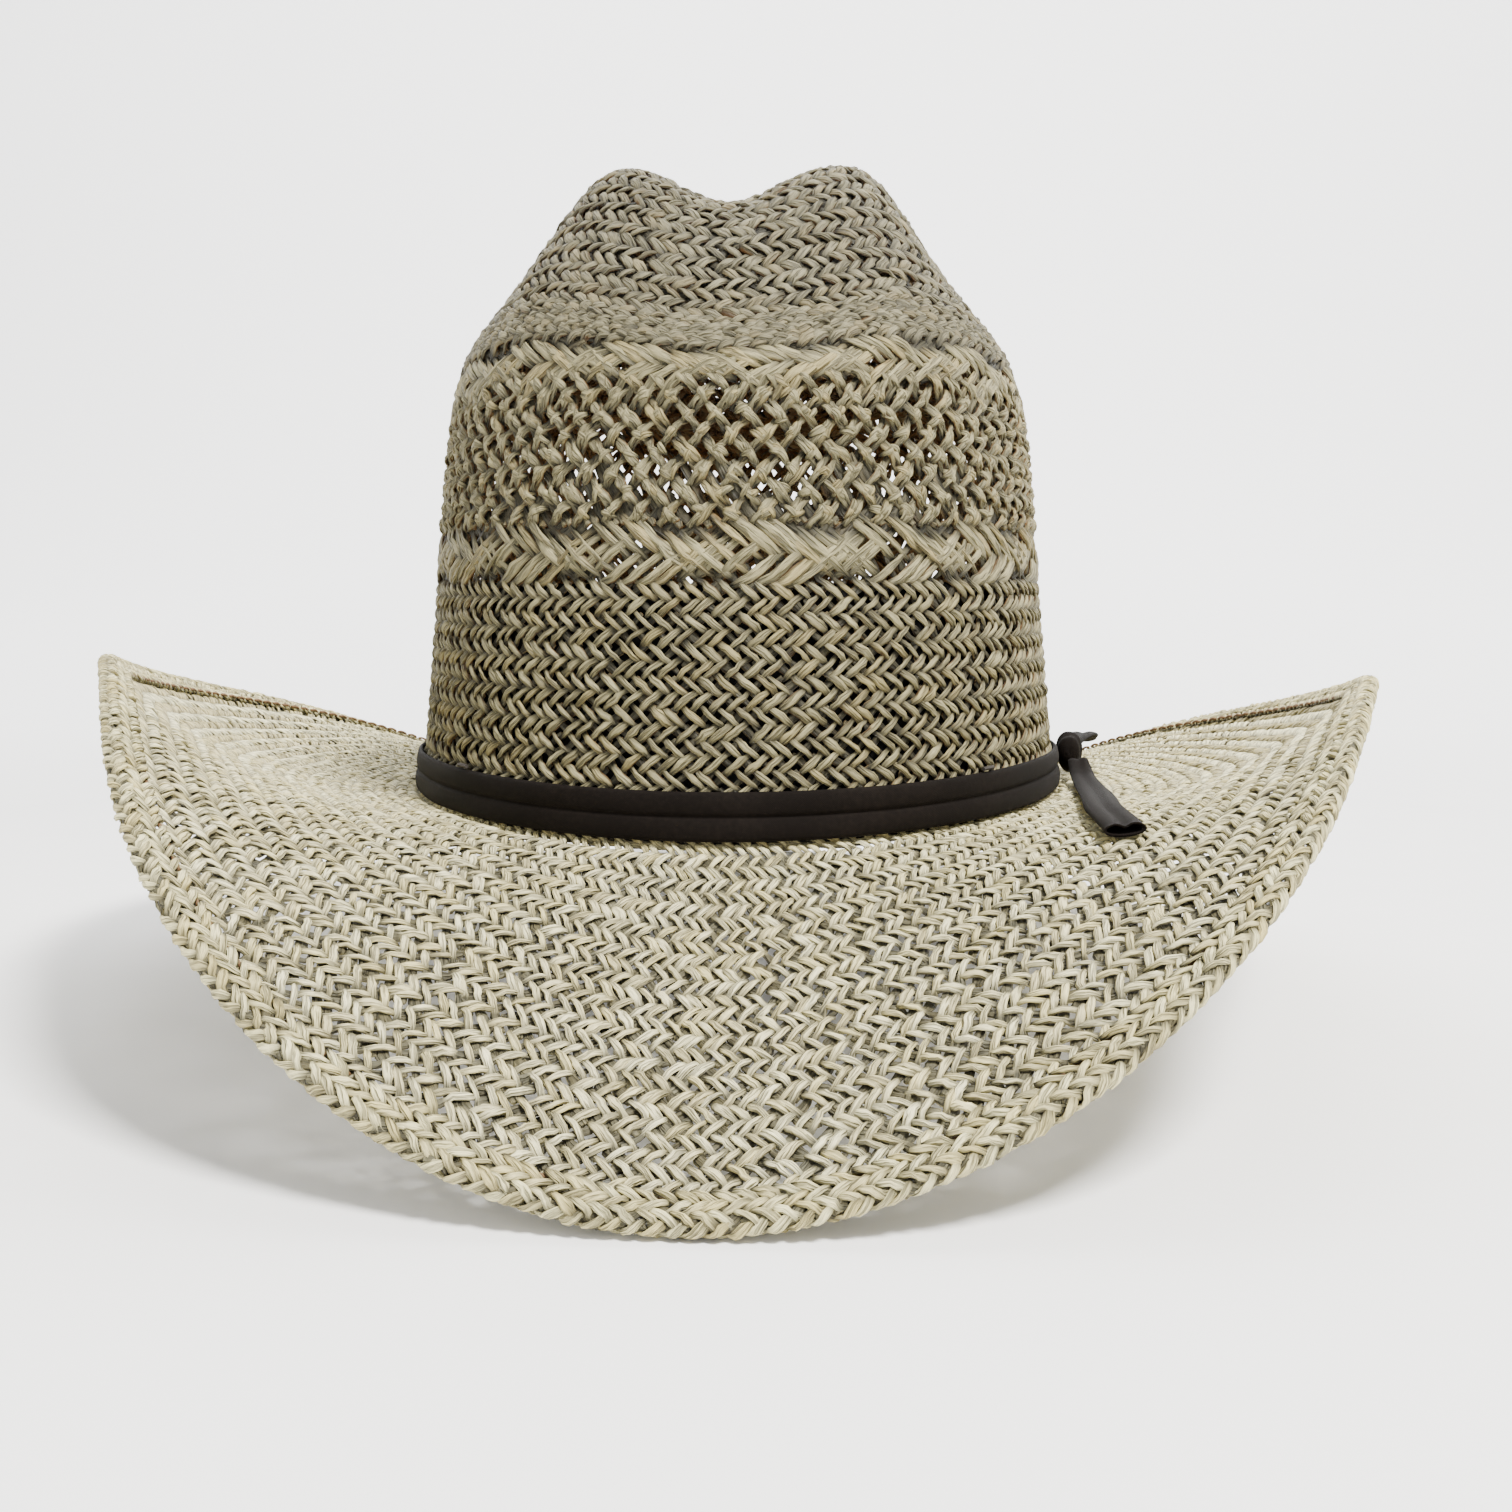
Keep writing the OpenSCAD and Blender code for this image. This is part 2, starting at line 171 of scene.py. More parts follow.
# %% [markdown]
# The hem is the brim's edge folded round a wire. Its surface is a path `d` millimetres long that
# runs out along the top of the fold, round the edge, and back underneath.

# %% The hem's surface
HEM_R = 1.3
HEM_TOP = HEM_IN
HEM_LONG = 2 * HEM_TOP + math.pi * HEM_R


def hem(th, d):
    """A point of the hem at the length d along its fold: u outwards and v up from the edge,
    straight for the first and last stretches and a half circle of radius r between."""
    e, i = brim(th, np.ones_like(th)), brim(th, np.full_like(th, 0.98))
    out = unit(e - i)
    along = unit(brim(th + 0.01, np.ones_like(th)) - brim(th - 0.01, np.ones_like(th)))
    up = unit(np.cross(out, along))
    bend = np.clip((d - HEM_TOP) / HEM_R, 0, math.pi)
    before, after = np.minimum(d - HEM_TOP, 0), np.maximum(d - HEM_TOP - math.pi * HEM_R, 0)
    u = HEM_R * np.sin(bend) + before - after
    v = HEM_R * np.cos(bend)
    return e + out * u[..., None] + up * v[..., None]


# %% [markdown]
# ## Meshes from whole arrays
# Every new piece is made from arrays of points and faces. Nothing loops over single vertices.

# %% A mesh from arrays
def make_piece(name, points, faces, uv=None, shades=None):
    """A mesh object from points in millimetres and a list of face arrays of equal width.
    uv holds a pair for each point, and shades holds named numbers for each point."""
    mesh = bpy.data.meshes.new(name)
    mesh.vertices.add(len(points))
    mesh.vertices.foreach_set("co", (points * MM).astype(np.float32).ravel())
    corners = np.concatenate([f.ravel() for f in faces]).astype(np.int32)
    widths = np.concatenate([np.full(len(f), f.shape[1]) for f in faces])
    mesh.loops.add(len(corners))
    mesh.loops.foreach_set("vertex_index", corners)
    mesh.polygons.add(len(widths))
    mesh.polygons.foreach_set("loop_start", (np.cumsum(widths) - widths).astype(np.int32))
    mesh.update(calc_edges=True)
    mesh.polygons.foreach_set("use_smooth", np.ones(len(widths), bool))
    if uv is not None:
        layer = mesh.uv_layers.new(name="strand")
        layer.data.foreach_set("uv", uv[corners].astype(np.float32).ravel())
    for key, values in (shades or {}).items():
        layer = mesh.attributes.new(key, "FLOAT", "POINT")
        layer.data.foreach_set("value", values.astype(np.float32))
    piece = bpy.data.objects.new(name, mesh)
    bpy.context.scene.collection.objects.link(piece)
    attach(piece, "root")
    fans = np.concatenate([f[:, [0, k, k + 1]] for f in faces for k in range(1, f.shape[1] - 1)])
    p = points[fans]
    volume = (p[:, 0] * np.cross(p[:, 1], p[:, 2])).sum() / 6000
    print(f"{name}: {len(fans)} triangles, volume {volume:.2f} cm3")
    return piece


def grid_faces(rows, cols, wrap=True):
    """Quads between neighbouring rows of points, closed round the columns if wrap is true."""
    i, j = np.meshgrid(np.arange(rows - 1), np.arange(cols if wrap else cols - 1), indexing="ij")
    k = (j + 1) % cols
    here, above = i * cols, (i + 1) * cols
    return np.stack([here + j, here + k, above + k, above + j], -1).reshape(-1, 4)


# %% [markdown]
# ## Strands
# A strand is a soft flat tube. `sweep` takes many strands at once: the middle line of each, the
# direction that is up from the cloth, and its width and thickness at every step along it.

# %% Sweep many strands in one go
SIDES = 6


def sweep(lines, up, width, thick, roll):
    """Points of every strand: line + width/2 * cos(a) * side + thick/2 * sin(a) * top, for a going
    round the section, with side = top x along, turned by the roll angle."""
    along = unit(np.gradient(lines, axis=1))
    side = unit(np.cross(along, up))
    top = np.cross(side, along)
    turned = side * np.cos(roll)[..., None] + top * np.sin(roll)[..., None]
    top = np.cross(turned, along)
    a = np.arange(SIDES) * TURN / SIDES
    flat = np.sign(np.cos(a)) * np.abs(np.cos(a)) ** 0.8
    return (lines[:, :, None]
            + turned[:, :, None] * (width[:, :, None] / 2 * flat)[..., None]
            + top[:, :, None] * (thick[:, :, None] / 2 * np.sin(a))[..., None])


def strands(name, lines, up, width, thick, roll, tone, rise):
    """One piece made of all the strands: tubes with closed ends, and for each point its place
    along and across its strand, its strand's tone, how far it faces into the hat, and how deep
    it lies in the plait: inside = max(0, -away . up), deep = (1 - rise) / 2 outside the cloth.
    The straw shader turns inside and deep into painted shade: a darker colour on the sides that
    face into the hat or down, and dark gaps where a strand dips under the others."""
    count, rings = lines.shape[:2]
    points = sweep(lines, up, width, thick, roll)
    each = grid_faces(rings, SIDES)
    start = (np.arange(count) * rings * SIDES)[:, None, None]
    tubes = (each[None] + start).reshape(-1, 4)[:, ::-1]
    first = np.arange(SIDES)[None] + start[:, 0]
    last = np.arange(SIDES)[::-1][None] + (rings - 1) * SIDES + start[:, 0]
    length = np.concatenate([np.zeros((count, 1)),
                             np.cumsum(np.linalg.norm(np.diff(lines, axis=1), axis=2), 1)], 1)
    seed = np.arange(count)[:, None, None]
    u = np.broadcast_to(length[:, :, None] + seed * 7.3, (count, rings, SIDES))
    v = 1.2 * np.cos(np.arange(SIDES) * TURN / SIDES) + seed % 97 * 3.1
    v = np.broadcast_to(v, (count, rings, SIDES))
    away = unit(points - lines[:, :, None])
    facing = (away * up[:, :, None]).sum(-1)
    # inside and deep are read by the straw shader as painted shade: darker inner sides, and dark
    # gaps where a strand dips under
    painted_gap_shade = np.clip(0.5 - 0.5 * rise[:, :, None] * np.sign(facing + 0.2), 0, 1)
    shades = {"tone": np.broadcast_to(tone[:, None, None], (count, rings, SIDES)).ravel(),
              "inside": np.clip(-facing, 0, 1).ravel(), "deep": painted_gap_shade.ravel()}
    return make_piece(name, points.reshape(-1, 3), [tubes, first, last],
                      np.stack([u.ravel(), v.ravel()], 1), shades)


# %% [markdown]
# ## The plait
# The rows of a plait lean one way and then the other. A strand passes over two strands of the
# other family and then under two. `floats` lays one such step of each strand in a row: it comes up
# from under the row below, shows as one slanting float, and goes down under the row above.

# %% One row of floats: how a float rises, where it goes under, and how unlike its neighbours it is
RISE_AT = np.array([-0.95, -0.5, 0.0, 0.5, 1.0, 1.5, 2.0, 2.75, 3.55])
RISE_FLAT = np.array([-0.9, 0, 0.72, 1.0, 0.72, 0, -0.95, -1.0, -0.5])
IS_EDGE = np.array([0, 1, 0, 0, 0, 1, 0, 0, 0])
STEP_SPREAD, BOW_SPREAD, RISE_SPREAD, RISE_NOISE = 0.6, 0.04, 0.12, 0.1
WIDTH_SPREAD, WIDTH_NOISE, THICK_SPREAD = 0.13, 0.09, 0.12
ROLL_SPREAD, ROLL_NOISE = 0.3, 0.12


def floats(surface, row_to_s, rows, lean, width, thick, lift, spread=0.12, slant=0.5, group=0,
           dive=-0.1, pinch=0.9, bend=0.02, under=1.35, painted_shade_stripes=False):
    """Lines and sizes of all the floats of one family. A float at place n of a row that starts at
    g runs over the steps r: angle = (n + lean * (slant * r + S)) * 2 pi / N, s = row_to_s(g + r),
    with S = bend sin(pi (r - 0.5) / 2), and it stands lift * rise(r) off the surface. dive is the
    rise where a float goes under, pinch its width there and under its width below. Painted shade
    stripes make the rows that lean one way paler and the others darker towards the sides of the
    edge, painted light and shade for how the two leans catch the light."""
    starts, turns, number = [], [], []
    for g, n in rows:
        starts.append(np.full(n, float(g)))
        turns.append(np.arange(n) / n)
        number.append(np.full(n, float(n)))
    g, place, n = (np.concatenate(v)[:, None] for v in (starts, turns, number))
    if group:
        g = g + lean * (np.round(place * n) // group % 2)
    count = len(g)
    wave = rng.normal(0, spread, (count, 1))
    r = RISE_AT[None] + rng.normal(0, spread * STEP_SPREAD, (count, 1))
    bow = bend * np.sin(math.pi / 2 * (RISE_AT - 0.5))[None]
    bow = bow + rng.normal(0, BOW_SPREAD, (count, len(RISE_AT)))
    rises = RISE_FLAT + IS_EDGE * dive
    swell = np.array([0.5, pinch, 1, 1.04, 1, pinch, 0.78 * under, 0.9 * under, 0.6 * under])
    th = TURN * (place + (lean * (slant * RISE_AT[None] + bow) + wave) / n)
    s = row_to_s(g + r)
    up = normal(surface, th, s)
    high = rng.normal(1, RISE_SPREAD, (count, 1)) * rises[None]
    high = high + rng.normal(0, RISE_NOISE, (count, 1))
    lines = surface(th, s) + up * (lift * high)[..., None]
    wide = width * rng.normal(1, WIDTH_SPREAD, (count, 1)).clip(0.7, 1.4) * swell[None]
    wide = wide * rng.normal(1, WIDTH_NOISE, wide.shape)
    deep = thick * rng.normal(1, THICK_SPREAD, (count, 1)).clip(0.7, 1.3) * np.ones_like(wide)
    roll = rng.normal(0, ROLL_SPREAD, (count, 1)) + rng.normal(0, ROLL_NOISE, wide.shape)
    tone = rng.random(count)
    # painted light and shade: towards the sides of the edge, rows of one lean are painted paler and
    # the others darker, for how each lean catches the light
    if painted_shade_stripes:
        side = np.clip(2 * np.cos(th[:, 4]) ** 2 - 0.8, 0, 1) * np.clip(2 * s[:, 4] - 0.5, 0, 1)
        tone = tone + side * (0.4 - 0.75 * lean - tone)
    return lines, up, wide, deep, roll, tone, high


def joined(parts):
    """Several sets of strands as one set."""
    return [np.concatenate(v) for v in zip(*parts)]


# %% The brim's plait, in six rings, with more strands in each row outwards
def brim_row_to_s(g):
    """Steps of the plait spread evenly from the crown's foot to the hem."""
    return -0.004 + 0.954 * g / (4 * BRIM_PAIRS)


def round_the_brim(w):
    """Length of the line round the brim at w."""
    p = brim(ring, np.full(72, w))
    return np.linalg.norm(np.roll(p, -1, 0) - p, axis=1).sum()


BRIM_PAIRS = 13
FLOAT_GAP = 2.95
BRIM_RINGS = [0, 3, 6, 8, 10, 12, 13]
brim_pieces = []
for part, (low, high) in enumerate(zip(BRIM_RINGS, BRIM_RINGS[1:])):
    sets = []
    for lean in (1, -1):
        begin = [4 * k + (0 if lean > 0 else 2) for k in range(low, high)]
        rows = [(g, round(round_the_brim(brim_row_to_s(g + 0.5)) / FLOAT_GAP)) for g in begin]
        # the brim's rows get the painted light and shade stripes
        sets.append(floats(brim, brim_row_to_s, rows, lean, 1.62, 1.0, 0.6, 0.16, slant=0.52,
                           dive=0.0, pinch=0.86, bend=0.0, under=1.75, painted_shade_stripes=True))
    brim_pieces.append(strands(f"brim_plait_{part + 1}", *joined(sets)))

# %% The hem's plait, folded round the edge
def hem_row_to_s(g):
    """Steps of the plait spread evenly over the fold, a little short of both its edges."""
    return 0.4 + (HEM_LONG - 0.9) * g / 12.6


HEM_GAP = 3.1
hem_pieces = []
hem_around = round_the_brim(1.0)
for part, pairs in enumerate([range(0, 2), range(2, 3)]):
    sets = []
    for lean in (1, -1):
        rows = [(4 * k + (0 if lean > 0 else 2), round(hem_around / HEM_GAP)) for k in pairs]
        sets.append(floats(hem, hem_row_to_s, rows, lean, 1.75, 1.0, 0.4,
                           slant=0.5, dive=0.0, pinch=0.85, under=1.6))
    hem_pieces.append(strands(f"hem_plait_{part + 1}", *joined(sets)))

# %% The crown's plait: heights of its zones above the foot, in steps of the plait
ZONE_STEPS = [0, 34, 38, 42, 46, 60]
ZONE_AT = [0.3, 58.5, 73.5, 105, 118, 131]


def crown_row_to_s(g):
    """Steps of the plait to the share of the crown: straight lines between the zones' heights on
    the wall, and equal shares over the top."""
    wall = np.interp(g, ZONE_STEPS, np.array(ZONE_AT) * WALL_ROWS / WALL_H)
    over = WALL_ROWS + (g - 60) * (1 - WALL_ROWS) / (4 * TOP_PAIRS)
    return np.where(g < 60, wall, over)


TOP_PAIRS = 17
CROWN_FLOATS = 136
crown_pieces = []
for name, first, last in (("crown_plait_low", -2, 18), ("crown_plait_middle", 18, 34)):
    low = [floats(crown, crown_row_to_s,
                  [(g, CROWN_FLOATS) for g in range(first + (0 if lean > 0 else 2), last, 4)],
                  lean, 1.65, 0.9, 0.55, 0.13) for lean in (1, -1)]
    crown_pieces.append(strands(name, *joined(low)))

# %% The two bold bands: long floats in groups of four that lean both ways
bold = [floats(crown, crown_row_to_s, [(g + (0 if lean > 0 else 2), CROWN_FLOATS)],
               lean, 2.3, 1.05, 0.75, 0.12, slant=1.15, group=4)
        for lean in (1, -1) for g in (34, 42)]
crown_pieces.append(strands("crown_bold_bands", *joined(bold)))

# %% The open band: pairs of strands cross one over one and leave diamond holes
VENT_N, VENT_ROWS, VENT_RINGS = 74, 7, 44
vent = []
for lean in (1, -1):
    for half in (-1, 1):
        r = np.linspace(-0.6, VENT_ROWS + 0.6, VENT_RINGS)[None]
        n = np.arange(VENT_N)[:, None]
        pinch = 0.5 + 0.5 * np.cos(TURN * r)
        shift = half * (0.1 - 0.03 * pinch) + rng.normal(0, 0.05, (VENT_N, 1))
        shift = shift + 0.07 * np.sin(1.7 * r + rng.uniform(0, TURN, (VENT_N, 1)))
        th = TURN * (n + lean * r / 2 + shift) / VENT_N
        z = ZONE_AT[2] + (ZONE_AT[3] - ZONE_AT[2]) * r / VENT_ROWS
        s = (z + rng.normal(0, 0.35, (VENT_N, 1))) * WALL_ROWS / WALL_H
        up = normal(crown, th, s)
        rise = lean * np.cos(math.pi * r) * 0.8 + half * 0.15 * np.cos(TURN * 2 * r + n)
        lines = crown(th, s) + up * rise[..., None]
        wide = (1.75 + 0.55 * np.cos(TURN * r + half)) * rng.normal(1, 0.1, (VENT_N, 1))
        wide = wide * rng.normal(1, 0.06, wide.shape)
        vent.append((lines, up, wide, np.full_like(wide, 1.05),
                     half * 0.6 * np.sin(TURN * r) + 0 * wide, rng.random(VENT_N), rise))
crown_pieces.append(strands("crown_vent_band", *joined(vent)))

# %% Short strands that wrap the crossings of the open band
WRAP_RADIUS = 88
k = np.arange(2 * VENT_N * int(VENT_ROWS))
row, spin = k // (2 * VENT_N), rng.uniform(-1, 1, len(k))
r = np.linspace(-0.5, 0.5, 7)[None]
size = rng.uniform(2.6, 5.0, (len(k), 1))
tilt = (spin * 0.9 + np.sign(spin) * 0.25)[:, None]
centre = (k % (2 * VENT_N) // 2 + row * 0.5 + rng.normal(0, 0.1, len(k)))[:, None] / VENT_N
row_now = row[:, None] + rng.normal(0, 0.12, (len(k), 1))
z = ZONE_AT[2] + (ZONE_AT[3] - ZONE_AT[2]) * row_now / VENT_ROWS
th = TURN * centre + size * r * np.cos(tilt) / WRAP_RADIUS
s = (z + size * r * np.sin(tilt)) * WALL_ROWS / WALL_H
up = normal(crown, th, s)
arch = 1.25 * (1 - 5.2 * r**2) * rng.normal(1, 0.1, size.shape)
wide = rng.uniform(1.3, 2.1, size.shape) * (1 - 1.8 * r**2)
crown_pieces.append(strands("crown_vent_wraps", crown(th, s) + up * arch[..., None], up, wide,
                            np.full_like(wide, 0.8), 0.3 * tilt + 0 * wide,
                            rng.random(len(k)), arch))

# %% The plait of the shoulder and of the top, with fewer strands in each row inwards
def round_the_crown(s):
    """Length of the line round the crown at s."""
    p = crown(ring, np.full(72, s))
    return np.linalg.norm(np.roll(p, -1, 0) - p, axis=1).sum()


TOP_GAP, FEWEST = 4.0, 9
for name, pairs in (("crown_plait_shoulder", range(0, 8)), ("crown_plait_top", range(8, 20))):
    sets = []
    for lean in (1, -1):
        begin = [46 + 4 * k + (0 if lean > 0 else 2) for k in pairs]
        around = [round_the_crown(float(crown_row_to_s(g + 0.5))) for g in begin]
        rows = [(g, max(FEWEST, round(length / TOP_GAP))) for g, length in zip(begin, around)]
        sets.append(floats(crown, crown_row_to_s, rows, lean, 2.25, 1.05, 0.6, 0.12))
    crown_pieces.append(strands(name, *joined(sets)))

# %% Straw pieces stand for the plain straw solids
for piece in crown_pieces:
    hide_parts("crown")
for piece in brim_pieces:
    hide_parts("brim")
for piece in hem_pieces:
    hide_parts("brim_hem")

# %% [markdown]
# ## Ribbon, knot and tails
# The ribbon is a strip of dark cloth folded lengthwise, so it has a groove along its middle.
# Bands run right round the crown's wall, and lofts follow a line of their own with a section that
# changes.

# %% Bands and lofts
def wall(th, d, h):
    """A point beside the wall: the wall at the height h, plus d outwards in plan."""
    out = unit(stack(np.cos(th) / CROWN_A, np.sin(th) / CROWN_B, 0 * th))
    return crown(th, h * WALL_ROWS / WALL_H) + out * d[..., None]


def band(name, profile, steps, ripple):
    """A closed ring round the crown's wall. profile holds d and h for each point of its section,
    counter-clockwise, and ripple(angle, h) is added to d."""
    cols = len(profile)
    th = np.repeat(np.linspace(0, TURN, steps, endpoint=False)[:, None], cols, 1)
    d = profile[None, :, 0] + ripple(th, profile[None, :, 1])
    points = wall(th, d, profile[None, :, 1] + 0 * th)
    i, j = np.meshgrid(np.arange(steps), np.arange(cols), indexing="ij")
    a, b = (i + 1) % steps, (j + 1) % cols
    faces = np.stack([i * cols + j, a * cols + j, a * cols + b, i * cols + b], -1).reshape(-1, 4)
    piece = make_piece(name, points.reshape(-1, 3), [faces])
    layer = piece.data.uv_layers.new(name="strand")
    gap = np.linalg.norm(np.diff(profile, axis=0, append=profile[:1]), axis=1)
    v = np.concatenate([[0], np.cumsum(gap)])
    step = 600.0 / steps
    corner = np.stack([np.stack([i, i + 1, i + 1, i], -1) * step,
                       np.stack([v[j], v[j], v[j + 1], v[j + 1]], -1)], -1)
    layer.data.foreach_set("uv", corner.astype(np.float32).ravel())
    return piece


def through(points, count):
    """A smooth line through the given points: a Catmull-Rom curve with count points."""
    p = np.concatenate([2 * points[:1] - points[1:2], points, 2 * points[-1:] - points[-2:-1]])
    at = np.linspace(0, len(points) - 1 - 1e-9, count)
    k, t = at.astype(int), (at % 1)[:, None]
    a, b, c, d = p[k], p[k + 1], p[k + 2], p[k + 3]
    return 0.5 * (2 * b + (c - a) * t + (2 * a - 5 * b + 4 * c - d) * t**2
                  + (3 * b - a - 3 * c + d) * t**3)


def loft(name, rings):
    """A tube through rings of points, with a flat end at each side."""
    rows, cols = rings.shape[:2]
    ends = [np.arange(cols)[::-1][None], (np.arange(cols) + (rows - 1) * cols)[None]]
    length = np.linalg.norm(np.diff(rings.mean(1), axis=0, prepend=rings.mean(1)[:1]), axis=1)
    u = np.repeat(np.cumsum(length)[:, None], cols, 1)
    v = np.repeat((np.cos(np.arange(cols) * TURN / cols) * 4.5)[None], rows, 0)
    uv = np.stack([u.ravel(), v.ravel()], 1)
    return make_piece(name, rings.reshape(-1, 3), [grid_faces(rows, cols)] + ends, uv)


# %% The ribbon
RIBBON_LOW, RIBBON_HIGH = 1.8, 12.6
h = np.linspace(0, 1, 25)
bulge = 0.25 + 0.85 * np.abs(np.sin(TURN * h)) ** 0.4
outer = np.stack([1.75 + bulge, RIBBON_LOW + (RIBBON_HIGH - RIBBON_LOW) * h], 1)
inner = np.stack([np.full(5, 1.65), np.linspace(RIBBON_HIGH - 0.1, RIBBON_LOW + 0.1, 5)], 1)


def ribbon_ripple(th, h):
    """Small waves along the ribbon: 0.1 sin(7 a + h/4) + 0.07 sin(19 a - h/3)."""
    return 0.1 * np.sin(7 * th + h / 4) + 0.07 * np.sin(19 * th - h / 3)


ribbon = band("ribbon_band", np.concatenate([outer, inner]), 360, ribbon_ripple)
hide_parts("hat_ribbon")


# %% The tails: flattened tubes with a crease down the middle and an open end
def tail(name, route, across, wide, high, crease, seed):
    """Rings along the route: side * wide/2 * cos(a) + top * (high/2 * sin(a) - crease at the
    middle), first along the outside and then back along the inside, so the end is hollow."""
    n = 48
    line = through(route, n)
    along = unit(np.gradient(line, axis=0))
    side = unit(across[None] - along * (along @ across)[:, None])
    top = np.cross(side, along)
    top = top * np.sign(top[:, 2:])
    side = np.cross(along, top)
    a = np.arange(32) * TURN / 32
    p = np.linspace(0, 1, n)[:, None]
    puff = high * (0.75 + 0.5 * p**3 + 0.1 * np.sin(9 * p + seed))
    spread = wide * (0.62 + 0.38 * np.minimum(p * 1.4, 1) ** 0.8 + 0.02 * np.sin(14 * p + seed))

    def skin(shrink, rows):
        x = (spread / 2 - shrink) * np.sign(np.cos(a)) * np.abs(np.cos(a)) ** 0.8
        dip = crease * np.exp(-((x / 1.1) ** 2)) * (np.sin(a) > 0) * np.sin(a)
        y = np.maximum(puff / 2 - shrink, 0.12) * np.sin(a) - dip * (puff / high)
        ringed = line[:, None] + side[:, None] * x[..., None] + top[:, None] * y[..., None]
        return ringed[rows]

    out = skin(0.0, slice(None))
    lip = skin(-0.12, slice(-1, None)) + along[-1] * 0.25
    back = skin(0.45, slice(n - 1, n - 16, -1))
    return loft(name, np.concatenate([out, lip, back])[:, ::-1])


def on_brim(deg, w, lift):
    """A point over the brim at the height lift."""
    return brim(np.radians(np.array([deg])), np.array([w]))[0] + [0, 0, lift]


front_route = np.array([on_brim(-5.2, 0.095, 7.4), on_brim(-7.6, 0.102, 4.9),
                        on_brim(-11, 0.11, 3.6), on_brim(-19, 0.14, 3.1), on_brim(-28, 0.2, 3),
                        on_brim(-36, 0.27, 3), on_brim(-43, 0.35, 3), on_brim(-48, 0.44, 3.1),
                        on_brim(-51.5, 0.52, 3.4)])
KNOT = MIDDLE + np.array([CROWN_A + 1.4 + 1.6 + 0.5, 0, BASE_RISE + 8.5])
rear_route = KNOT + np.array([[4.4, 5.8, 2], [6.5, 11, 3], [9, 18, 3.4], [11, 26, 2.8],
                              [12, 34, 1.4]])
front_tail = tail("tail_front", front_route, np.array([1.0, 0, 0.1]), 8.4, 2.4, 0.75, 1.0)
rear_tail = tail("tail_rear", rear_route, np.array([1.0, -0.4, 0.05]), 8.4, 2.1, 0.6, 2.5)
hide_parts("front_tail")
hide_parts("rear_tail")

# %% The knot: a strip wrapped tightly round the ribbon, with folds along it
a = np.arange(40) * TURN / 40
t = np.linspace(-1, 1, 33)[:, None]
body = np.sqrt(np.maximum(1 - np.abs(t) ** 2.6, 0.002))
folds = 1 + 0.05 * np.cos(9 * t + 1.5 * np.cos(a)) + 0.04 * np.sin(3 * a + 2 * t)
rx, rz = 3.5 * body * folds, 5.4 * (0.35 + 0.65 * body) * folds
knot_rings = np.stack([KNOT[0] + 2.6 + rx * np.cos(a) + 0.5 * t, KNOT[1] + 5.2 * t + 0 * a,
                       KNOT[2] + 0.2 + rz * body**0.4 * np.sin(a) + 0.9 * t], -1)
knot = loft("knot_wrap", knot_rings[:, ::-1])
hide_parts("ribbon_knot")

# %% [markdown]
# ## Inside the hat
# A dark sweatband stands inside the wall. A thin reed runs in its lower fold, and a small bow and a
# blank tab sit at the back.

# %% The sweatband
up_h = np.linspace(2.2, 57.5, 16)
sweat_out = np.stack([np.full(16, -1.75), up_h], 1)
sweat_in = np.stack([np.where(up_h[::-1] > 54.5, -3.05, -2.65), up_h[::-1]], 1)


def sweat_ripple(th, h):
    """A slight wave that grows towards the upper edge:
    -0.35 (h/57)^2 (1 + sin(5 a) sin(3 a + 1))."""
    return -0.35 * (h / 57) ** 2 * (1 + np.sin(5 * th) * np.sin(3 * th + 1))


sweatband = band("sweat_band", np.concatenate([sweat_out, sweat_in]), 240, sweat_ripple)
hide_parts("sweatband")

# %% The bow and the tab
back_y = MIDDLE[1] + CROWN_B - 1.4 - 1.2 - 1.6
x = np.linspace(-10, 10, 41)[:, None]
a = np.arange(28) * TURN / 28
flare = 1.5 + 2.3 * np.abs(x / 10) ** 0.7
end = np.sqrt(np.maximum(1 - np.abs(x / 10.2) ** 8, 0.001))
fold = 1 + 0.25 * np.cos(3 * a) * np.abs(x / 10)
bow_rings = np.stack([MIDDLE[0] + x + 0 * a, back_y - 0.7 + 0.72 * end * fold * np.sin(a) + 0 * x,
                      MIDDLE[2] + 11 + flare * end * np.cos(a)], -1)
bow = loft("bow_loops", bow_rings[:, ::-1])
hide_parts("sweatband_bow")
x = np.linspace(-13, 13, 40)[:, None]
a = np.arange(24) * TURN / 24
round_off = np.abs(np.cos(a)) ** 0.25 * np.sign(np.cos(a))
tab_y = back_y - 2.45 - 0.004 * x**2
tab_rings = np.stack([MIDDLE[0] + x + 0 * a, tab_y + 0.28 * np.sin(a),
                      MIDDLE[2] + 27 + 8 * round_off + 0 * x], -1)
tab = loft("blank_tab", tab_rings[:, ::-1])
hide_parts("size_tab")

# %% The hem's stitches: short lengths of thread, sunk at the front and proud at the back
count = int(hem_around / 5.2)
r = np.linspace(-0.5, 0.5, 7)[None]
th = TURN * (np.arange(count)[:, None] + 0.72 * r) / count
up = normal(hem, th, np.full_like(th, 0.35))
sunk = -1.4 + 2.6 * (0.5 + 0.5 * np.sin(th)) ** 0.7 + 0.4 * np.cos(math.pi * r)
stitch = hem(th, np.full_like(th, 0.0)) + up * sunk[..., None]
stitches = strands("hem_stitches", stitch, up, np.full_like(th, 0.9), np.full_like(th, 0.8),
                   np.zeros_like(th), rng.random(count), np.ones_like(th))
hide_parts("hem_stitching")

# %% [markdown]
# ## Shared shader effects
# Each group gives only colours and numbers. The materials below keep their own main shader.

